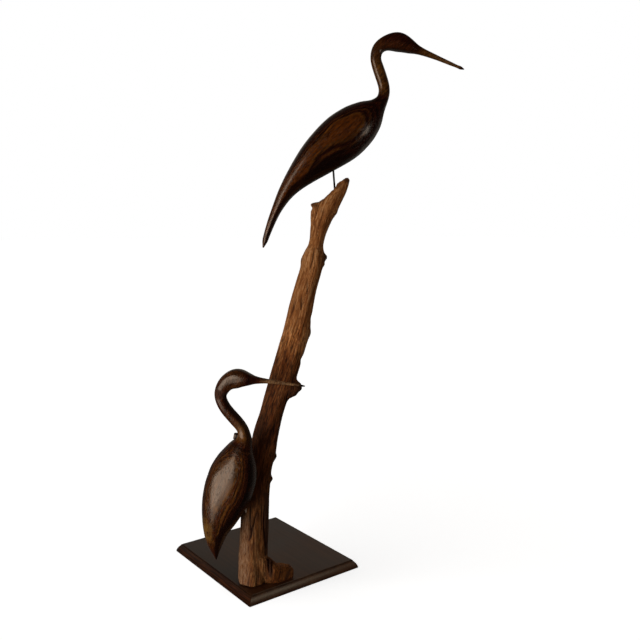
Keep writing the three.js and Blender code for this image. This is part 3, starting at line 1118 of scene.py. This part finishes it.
# What the light given back by the toe is multiplied by.
TOE_STAIN = (0.82, 0.66, 0.45)

# Where on the post these begin and are full, by its height and how far to the right of its middle.
GRIMY_HEIGHT = (365, 325)
LESS_GRIMY_HEIGHT = (90, 130, 0.55, 1.0)
SHEEN_AND_BLEACH_ACROSS = (-1.0, -9.0)
SHEEN_AND_BLEACH_HEIGHT = (125, 95)
TOE_ACROSS = (15, 22)
TOE_HEIGHT = (70, 45)

SHEEN_AND_BLEACH_COVER = 0.8
DOT_COVER = 0.65
TORN_COVER = 0.4

# Lumps to a millimetre of each noise in the fibres: across, through and along them.
POST_STREAKS = (0.42, 0.42, 0.04)
POST_THREADS = (0.95, 0.95, 0.09)
POST_PATCHES = (0.06, 0.06, 0.018)
POST_FLECKS = (1.0, 1.0, 0.22)
POST_GRIME = (0.60, 0.60, 0.10)

POST_ROUGHNESS = 0.70
POST_SPECULAR = 0.3
POST_BUMP = 0.8
POST_BUMP_REACH = 0.001


def driftwood():
    """Dull weathered wood with short dark flecks, darker down the post, partly in its own tone and
    partly with a painted shadow of the lower heron. The foot's left side is paler, partly with a
    painted sheen, and where the points say so it has painted shade in the cracks and dark knots and
    marks, some of them painted shade.
    """
    finish = Finish("weathered_post_wood")
    fibre = finish.kept("fibre", "Vector")
    hollow, knot, torn = finish.kept("hollow"), finish.kept("knot"), finish.kept("torn")
    streaks = finish.spots(fibre, POST_STREAKS, 3.0, 0.62)
    threads = finish.spots(fibre, POST_THREADS, 3.0, 0.68)
    patches = finish.spots(fibre, POST_PATCHES, 2.0)
    dots = finish.spots(fibre, POST_FLECKS, 2.0, 0.6).between(0.57, 0.66)
    grime = finish.spots(fibre, POST_GRIME, 3.0, 0.65)
    across = finish.add("SeparateXYZ", {}, [fibre], 0)
    height = finish.add("SeparateXYZ", {}, [fibre], 2) + (patches - 0.5) * 40

    tone = (streaks - 0.5) * 0.9 + (threads - 0.5) * 0.9 + (patches - 0.5) * 0.6 + 0.5
    colour = finish.ramp(tone, DRIFTWOOD_TONES)
    # Darker down the post: its own tone and a painted shadow of the lower heron.
    colour = finish.mix(1.0, colour, finish.ramp(height, TONE_AND_SHADOW_DOWN_POST, POST_TOP), "MULTIPLY")
    low_down = height.between(*GRIMY_HEIGHT) * height.between(*LESS_GRIMY_HEIGHT)
    colour = finish.shade(colour, 1.0 + low_down * grime.between(0.36, 0.64, -0.65, 0.90))
    # The foot's left side, towards the light, painted paler: weathered grey with a painted sheen.
    bleached_and_sheen = across.between(*SHEEN_AND_BLEACH_ACROSS) * height.between(*SHEEN_AND_BLEACH_HEIGHT)
    bleached_and_sheen = bleached_and_sheen * threads.between(0.36, 0.62)
    colour = finish.mix(bleached_and_sheen * SHEEN_AND_BLEACH_COVER, colour, BLEACHED_AND_SHEEN)
    toe = across.between(*TOE_ACROSS) * height.between(*TOE_HEIGHT)
    colour = finish.mix(toe, colour, TOE_STAIN, "MULTIPLY")
    colour = finish.mix(dots * DOT_COVER, colour, DOT_BROWN)
    colour = finish.mix(torn * TORN_COVER, colour, TORN_WOOD)
    # Dark knots and marks, some of the marks painted shade.
    colour = finish.mix(knot, colour, KNOT_AND_SHADE_BROWN)
    # Painted shade in the cracks.
    colour = finish.mix(hollow, colour, CRACK_SHADE_BLACK)

    bumps = threads * 0.8 + streaks * 0.5 - dots * 0.3
    changing = {"Base Color": colour, "Roughness": POST_ROUGHNESS + threads * 0.2}
    steady = {"Specular IOR Level": POST_SPECULAR}
    return finish.close(changing, steady, bumps, POST_BUMP, POST_BUMP_REACH)


# The board


BOARD_SHORT = 178
BOARD_LONG = 203
MITRE_ROUND = 1.0
MITRE_STEPS = 4

# The edge from the underside up: how far in from the outside, and the height. Between the two runs
# is the slope, which bulges by a share of its corner.
EDGE_START = [(0.5, 0.0), (0.15, 0.15), (0.0, 0.5), (0.0, 1.6)]
EDGE_END = [
    (5.1, 9.5), (5.12, 10.2), (5.2, 10.36), (5.4, 10.4), (6.2, 10.4),
    (6.38, 10.44), (6.4, 10.6), (6.42, 11.05), (6.55, 11.24), (6.9, 11.3),
]
SLOPE_BULGE = 0.35
SLOPE_STEPS = 14

# Points closer than this, in metres, are one point.
SAME_PLACE = 0.00002


def edge_profile():
    start, end = np.array(EDGE_START[-1]), np.array(EDGE_END[0])
    pull = (start + end) / 2 * (1 - SLOPE_BULGE) + np.array([start[0], end[1]]) * SLOPE_BULGE
    part = np.linspace(0, 1, SLOPE_STEPS + 1)[1:-1, None]
    slope = (1 - part) ** 2 * start + 2 * part * (1 - part) * pull + part ** 2 * end
    return np.vstack([EDGE_START, slope, EDGE_END])


def board(material):
    """A rectangle with rounded corners, drawn up and in along the edge's profile."""
    profile = edge_profile() * MM
    sizes = {
        "Short Side": BOARD_SHORT * MM,
        "Long Side": BOARD_LONG * MM,
        "Mitre Round": MITRE_ROUND * MM,
    }
    shape = Shape("moulded_board", sizes, material)
    sides = {"Width": shape.size("Short Side"), "Height": shape.size("Long Side")}
    outline = shape.add("GeometryNodeCurvePrimitiveQuadrilateral", {"mode": "RECTANGLE"}, sides)
    corners = {"Curve": outline, "Count": MITRE_STEPS, "Radius": shape.size("Mitre Round")}
    outline = shape.add("GeometryNodeFilletCurve", {"mode": "POLY"}, corners)
    face = shape.add("GeometryNodeFillCurve", {"mode": "NGONS"}, [outline])
    here = shape.add("GeometryNodeInputPosition", {}, {})
    inwards = shape.vector("MULTIPLY", shape.vector("SIGN", here, (0, 0, 0)), (-1, -1, 0))

    def drawn_in(geometry, inset, chosen):
        shift = shape.vector("SCALE", inwards, (0, 0, 0), 0, float(inset))
        sockets = {"Geometry": geometry, "Offset": shift, **chosen}
        return shape.add("GeometryNodeSetPosition", {}, sockets)

    block = drawn_in(face, profile[0][0], {})
    underside = shape.add("GeometryNodeFlipFaces", {}, [block])
    top = {}
    for (inset, height), (next_inset, next_height) in zip(profile[:-1], profile[1:]):
        sockets = {"Mesh": block, "Offset Scale": float(next_height - height), "Individual": False}
        block = shape.add("GeometryNodeExtrudeMesh", {"mode": "FACES"}, {**sockets, **top})
        top = {"Selection": Signal(shape, block.socket.node.outputs["Top"])}
        block = drawn_in(block, next_inset - inset, top)
    both = shape.tree.nodes.new("GeometryNodeJoinGeometry")
    for part in (underside, block):
        shape.tree.links.new(part.socket, both.inputs[0])
    sockets = {"Geometry": Signal(shape, both.outputs[0]), "Distance": SAME_PLACE}
    whole = shape.add("GeometryNodeMergeByDistance", {}, sockets)
    return shape.built("base_board_moulded", whole)


BOARD_TONES = [
    (0.35, (0.026, 0.0080, 0.0030)),
    (0.55, (0.052, 0.0175, 0.0070)),
    (0.75, (0.090, 0.0340, 0.0135)),
]
RUBBED_WOOD = (0.110, 0.055, 0.024)
# The near-black of the painted shade on the ledge below the top's edge.
LEDGE_SHADE_BLACK = (0.004, 0.002, 0.0012)

# How far in from the board's outside each part of its edge begins, is full, fades and has gone.
RIM = (6.3, 6.5, 6.8, 7.4)
STEP = (4.9, 5.1, 5.3, 5.6)
LEDGE_SHADE = (5.5, 5.8, 6.2, 6.4)
SLOPE = (0.4, 0.9, 4.9, 5.1)
OUTSIDE = (0.6, 0.2)
RUBBED_COVER = 0.5
LEDGE_SHADE_COVER = 0.95

# Lumps to a millimetre of each noise in the board's grain, which runs along its long side.
BOARD_STREAKS = (0.22, 0.006, 0.22)
BOARD_THREADS = (1.6, 0.03, 1.6)
BOARD_CLOUDS = 0.02

BOARD_ROUGHNESS = 0.30
BOARD_BUMP = 0.06
BOARD_BUMP_REACH = 0.0002


def board_wood():
    """Satin dark stain, rubbed pale along the edges, with painted shade, near-black, on the ledge below
    the top's edge.
    """
    finish = Finish("board_stain")
    place = finish.place()
    streaks = finish.spots(place, BOARD_STREAKS, 4.0, 0.55, 0.3)
    threads = finish.spots(place, BOARD_THREADS, 3.0, 0.6)
    clouds = finish.spots(place, BOARD_CLOUDS, 2.0)
    colour = finish.ramp(streaks * 0.45 + threads * 0.15 + clouds * 0.50, BOARD_TONES)
    size = finish.add("SeparateXYZ", {}, [finish.vector("ABSOLUTE", place, (0, 0, 0))])
    deep = Signal(finish, size.socket.node.outputs[1])
    inset = (BOARD_SHORT / 2 - size).math("MINIMUM", BOARD_LONG / 2 - deep)
    worn = inset.within(*RIM) + inset.within(*STEP) + inset.between(*OUTSIDE)
    rubbed = worn * (streaks + clouds).between(0.9, 1.2)
    colour = finish.mix(rubbed * RUBBED_COVER, colour, RUBBED_WOOD)
    # Painted shade on the ledge and the small drop below the top's edge.
    ledge_shade = inset.within(*LEDGE_SHADE)
    colour = finish.mix(ledge_shade * LEDGE_SHADE_COVER, colour, LEDGE_SHADE_BLACK)
    colour = finish.shade(colour, 1.0 + inset.within(*SLOPE) * threads.between(0.40, 0.62, -0.5, 1.2))
    roughness = BOARD_ROUGHNESS + clouds * 0.14 + threads * 0.08 + ledge_shade * 0.45
    changing = {"Base Color": colour, "Roughness": roughness}
    return finish.close(changing, {}, threads, BOARD_BUMP, BOARD_BUMP_REACH)


# The wires


WIRE_RADIUS = 1.3
WIRE_SIDES = 24
WIRE_STEPS = 33
UPPER_WIRE = [(95.6, 0, 560), (99.6, -1, 508)]
LOWER_WIRE = [(-17.1, -109, 127.7), (-17.6, -74.1, 95.1)]


def wire(name, ends, material):
    """A straight round wire between two points of the turned frame."""
    start, end = (tuple(point.tolist()) for point in in_row_frame(np.array(ends, float)))
    shape = Shape(name + "_run", {"Start": start, "End": end, "Radius": WIRE_RADIUS * MM}, material)
    sockets = {"Start": shape.size("Start"), "End": shape.size("End")}
    run = shape.add("GeometryNodeCurvePrimitiveLine", {}, sockets)
    run = shape.add("GeometryNodeResampleCurve", {}, {"Curve": run, "Count": WIRE_STEPS})
    section = {"Resolution": WIRE_SIDES, "Radius": shape.size("Radius")}
    section = shape.add("GeometryNodeCurvePrimitiveCircle", {}, section)
    sockets = {"Curve": run, "Profile Curve": section, "Fill Caps": True}
    return shape.built(name, shape.add("GeometryNodeCurveToMesh", {}, sockets))


WIRE_TONES = [
    (0.3, (0.005, 0.0045, 0.004)),
    (0.6, (0.012, 0.010, 0.009)),
    (0.8, (0.022, 0.016, 0.012)),
]
# The pale grey of the painted glint on the lower heron's wire.
PAINTED_GLINT_GREY = (0.700, 0.640, 0.600)
GLINT_HEIGHT = (150, 140)
WIRE_SCALE = (1.1, 1.1, 0.5)
WIRE_ROUGHNESS = 0.50
WIRE_SPECULAR = 0.12
WIRE_BUMP = 0.2
WIRE_BUMP_REACH = 0.0002


def wire_metal():
    """Dark dull steel, painted pale grey low down, where the lower heron's wire is, as a painted glint.
    """
    finish = Finish("wire_metal")
    scale = finish.spots(finish.place(), WIRE_SCALE, 3.0, 0.6)
    colour = finish.ramp(scale, WIRE_TONES)
    # A painted glint: the lower heron's wire is painted pale grey.
    glint = finish.add("SeparateXYZ", {}, [finish.place()], 2).between(*GLINT_HEIGHT)
    colour = finish.mix(glint, colour, PAINTED_GLINT_GREY)
    changing = {"Base Color": colour, "Roughness": WIRE_ROUGHNESS + scale * 0.3}
    steady = {"Specular IOR Level": WIRE_SPECULAR}
    return finish.close(changing, steady, scale, WIRE_BUMP, WIRE_BUMP_REACH)


# Building the sculpture


# The angle between two faces, in degrees, from which their edge is drawn sharp.
WOOD_EDGES = 60
BOARD_EDGES = 30
WIRE_EDGES = 50

upper = heron(
    "upper_heron_carved", UPPER_HERON_LINE, UPPER_HERON_BACK, UPPER_FULLER, UPPER_BLUNT, UPPER_SEED)
lower = heron(
    "lower_heron_carved", LOWER_HERON_LINE, LOWER_HERON_BACK, LOWER_FULLER, LOWER_BLUNT, LOWER_SEED)
cut(lower, neck_chip(), "UNION")
upper_wood = heron_wood("upper_heron_wood", UPPER_LOOK)
lower_wood = heron_wood("lower_heron_wood", LOWER_LOOK)
finish_piece(upper, upper_wood, "upper_heron", WOOD_EDGES)
finish_piece(lower, lower_wood, "lower_heron", WOOD_EDGES)
finish_piece(post(), driftwood(), "driftwood_post", WOOD_EDGES)
stained_wood = board_wood()
finish_piece(board(stained_wood), stained_wood, "base_board", BOARD_EDGES)
metal = wire_metal()
for name, node, ends in (
    ("upper_heron_wire_drawn", "upper_heron_wire", UPPER_WIRE),
    ("lower_heron_wire_drawn", "lower_heron_wire", LOWER_WIRE),
):
    finish_piece(wire(name, ends, metal), metal, node, WIRE_EDGES)


# Camera, floor and light


CAMERA_PLACE = (-0.54155, -0.83807, 0.46968)
CAMERA_TURN = math.radians(-37.3993)
CAMERA_RISE = math.radians(7.1439)
LENS = 41.0625
WHITE = (1, 1, 1, 1)

# What the lights face, in metres.
TARGET = Vector((0.02, -0.02, 0.32))


def add_camera():
    lens = bpy.data.cameras.new("camera")
    lens.lens = LENS
    lens.sensor_width = 36.0
    lens.clip_start = 0.02
    camera = bpy.data.objects.new("camera", lens)
    bpy.context.scene.collection.objects.link(camera)
    across = math.cos(CAMERA_RISE)
    back = Vector((
        math.sin(CAMERA_TURN) * across,
        -math.cos(CAMERA_TURN) * across,
        math.sin(CAMERA_RISE),
    ))
    camera.location = CAMERA_PLACE
    camera.rotation_mode = "QUATERNION"
    camera.rotation_quaternion = (-back).to_track_quat("-Z", "Y")
    bpy.context.scene.camera = camera


def add_light(name, kind, place, power, colour, receivers, roll=0.0):
    """A light at a place of the turned frame, in metres, that faces the sculpture and lights only
    the receivers. roll turns it about its own axis, in degrees."""
    lamp = bpy.data.lights.new(name, kind)
    lamp.energy = power
    lamp.color = colour
    thing = bpy.data.objects.new(name, lamp)
    thing.location = Vector(in_row_frame(np.array(place, float) / MM))
    thing.rotation_mode = "QUATERNION"
    facing = (TARGET - thing.location).to_track_quat("-Z", "Y")
    thing.rotation_quaternion = facing @ Quaternion((0, 0, 1), math.radians(roll))
    thing.visible_camera = False
    thing.light_linking.receiver_collection = receivers
    bpy.context.scene.collection.objects.link(thing)
    return lamp


def add_soft_box(name, place, size, power, colour, receivers, shines=True, roll=0.0):
    """A soft rectangular light. Where shines is False, gloss doesn't show it."""
    lamp = add_light(name, "AREA", place, power, colour, receivers, roll)
    lamp.shape = "RECTANGLE"
    lamp.size, lamp.size_y = size
    bpy.data.objects[name].visible_glossy = shines


FLOOR_HALF = 30.0
FLOOR_GLOW = 0.62
FLOOR_SUN_PLACE = (-1.2, -0.9, 2.6)
FLOOR_SUN_POWER = 1.7
FLOOR_SUN_SPREAD = 50


def add_floor(collection):
    """A white floor. It glows a little, so that it stays pale, and its own light gives the shadow."""
    half = FLOOR_HALF
    corners = np.array([(-half, -half, 0), (half, -half, 0), (half, half, 0), (-half, half, 0)], float)
    floor = mesh_object("floor", corners, [(0, 1, 2, 3)])
    finish = Finish("floor_white")
    glow = {
        "Base Color": (0.8, 0.8, 0.8, 1),
        "Roughness": 0.9,
        "Specular IOR Level": 0.0,
        "Emission Color": WHITE,
        "Emission Strength": FLOOR_GLOW,
    }
    finish.add("OutputMaterial", {}, {"Surface": finish.add("BsdfPrincipled", {}, glow)})
    floor.data.materials.append(finish.material)
    floor.visible_diffuse = False
    floor.visible_glossy = False
    floor.visible_shadow = False
    collection.objects.link(floor)
    sun = add_light("floor_light", "SUN", FLOOR_SUN_PLACE, FLOOR_SUN_POWER, WHITE[:3], collection)
    sun.angle = math.radians(FLOOR_SUN_SPREAD)


ROOM_COLOUR = (1.0, 0.90, 0.76, 1)
ROOM_DIM = 0.015
ROOM_BEHIND = 0.10
ROOM_BAND = 0.24
BEHIND = (-0.1, 0.80)
BAND_HEIGHTS = (0.12, 0.34, 0.40, 0.62)


def add_surround():
    """White behind the sculpture for the camera. What lights it is a dim room, brighter behind it,
    with a soft band about 22 degrees above the horizon."""
    world = bpy.data.worlds.new("room")
    world.use_nodes = True
    room = Nodes(world.node_tree)
    look = room.add("TexCoord", {}, {}, "Generated")
    away = (math.sin(-BEAKS_TURNED), math.cos(-BEAKS_TURNED), 0)
    behind = room.vector("DOT_PRODUCT", look, away, "Value").between(*BEHIND)
    band = room.add("SeparateXYZ", {}, [look], 2).within(*BAND_HEIGHTS)
    light = ROOM_DIM + behind * (ROOM_BEHIND + band * ROOM_BAND)
    dim = room.add("Background", {}, {"Color": ROOM_COLOUR, "Strength": light})
    white = room.add("Background", {}, {"Color": WHITE})
    seen = room.add("LightPath", {}, {}, "Is Camera Ray")
    room.add("OutputWorld", {}, [room.add("MixShader", {}, [seen, dim, white])])
    bpy.context.scene.world = world


# The colours of the lights, and the groups of pieces that a light can be kept to.
WARM = (1.0, 0.77, 0.58)
SOFT_WARM = (1.0, 0.86, 0.70)
PALE = (1.0, 0.95, 0.82)
STRAW = (1.0, 0.87, 0.62)
lit_upper = bpy.data.collections.new("upper_carving")
lit_lower = bpy.data.collections.new("post_and_lower_carving")
lit_carvings = bpy.data.collections.new("both_carvings_and_post")
lit_board = bpy.data.collections.new("board")
lit_floor = bpy.data.collections.new("stage")
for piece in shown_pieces():
    if piece.name.startswith("base_board"):
        lit_board.objects.link(piece)
        continue
    lit_carvings.objects.link(piece)
    group = lit_upper if piece.name.startswith("upper_heron_carved") else lit_lower
    group.objects.link(piece)
add_camera()
add_floor(lit_floor)
add_surround()
add_soft_box("left_box", (-0.965, -1.03, 0.190), (1.5, 0.80), 17.0, WARM, lit_lower, roll=27.0)
add_soft_box("low_box", (-0.805, -1.179, -0.311), (1.4, 0.30), 2.4, WARM, lit_lower, roll=27.0)
add_soft_box("upper_box", (-1.05, -0.74, 0.42), (0.85, 0.8), 9.0, WARM, lit_upper)
add_soft_box("front_fill", (0.3, -1.3, 0.7), (0.7, 0.7), 4.0, WARM, lit_carvings, shines=False)
add_soft_box("breast_box", (1.15, -0.66, 0.22), (0.3, 0.35), 0.9, SOFT_WARM, lit_upper)
add_soft_box("back_fill_left", (-0.7, 1.2, 0.7), (0.9, 0.9), 7.0, WARM, lit_carvings, shines=False)
add_soft_box("back_fill_right", (1.0, 1.1, 0.7), (0.9, 0.9), 7.0, WARM, lit_carvings, shines=False)
add_soft_box("belly_box", (1.0, 0.65, 0.15), (0.9, 0.9), 0.6, PALE, lit_upper)
add_soft_box("board_box", (0.9, -0.5, 0.9), (0.8, 0.6), 3.6, STRAW, lit_board)
add_soft_box("board_fill", (-0.9, -1.0, 0.10), (0.8, 0.4), 6.0, WARM, lit_board, shines=False)
bpy.context.scene.view_settings.view_transform = "Standard"
bpy.context.scene.view_settings.look = "None"
